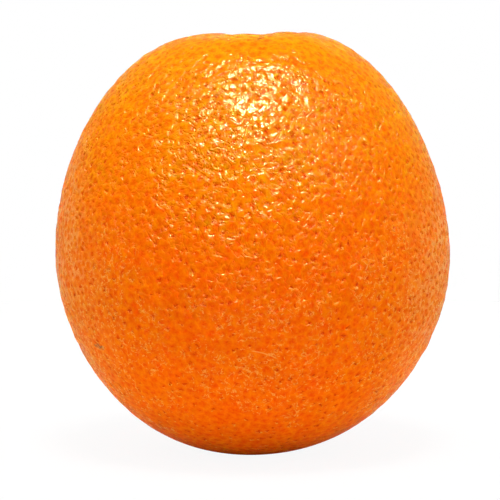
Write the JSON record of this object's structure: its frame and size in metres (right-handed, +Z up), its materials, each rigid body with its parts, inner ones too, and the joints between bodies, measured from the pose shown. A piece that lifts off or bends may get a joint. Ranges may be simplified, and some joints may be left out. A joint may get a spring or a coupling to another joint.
{
  "type": "orange",
  "caption": "Whole ripe orange with a coarse, pitted rind, a shallow stem cavity with a dried button, and a small flat spot that it rests on.",
  "frame": {"origin": "middle of the small flat spot under the fruit, on the plane that it rests on", "axes": "+Z up from the flat spot to the stem end; -Y towards the side that shows the fruit's best face; +X to that viewer's right, where the top's higher shoulder is"},
  "size_m": [0.0717, 0.0717, 0.0761],
  "materials": {
    "rind": "satin",
    "stem_button": "matte"
  },
  "bodies": {
    "root": {"orange_fruit": "rind"}
  },
  "joints": []
}
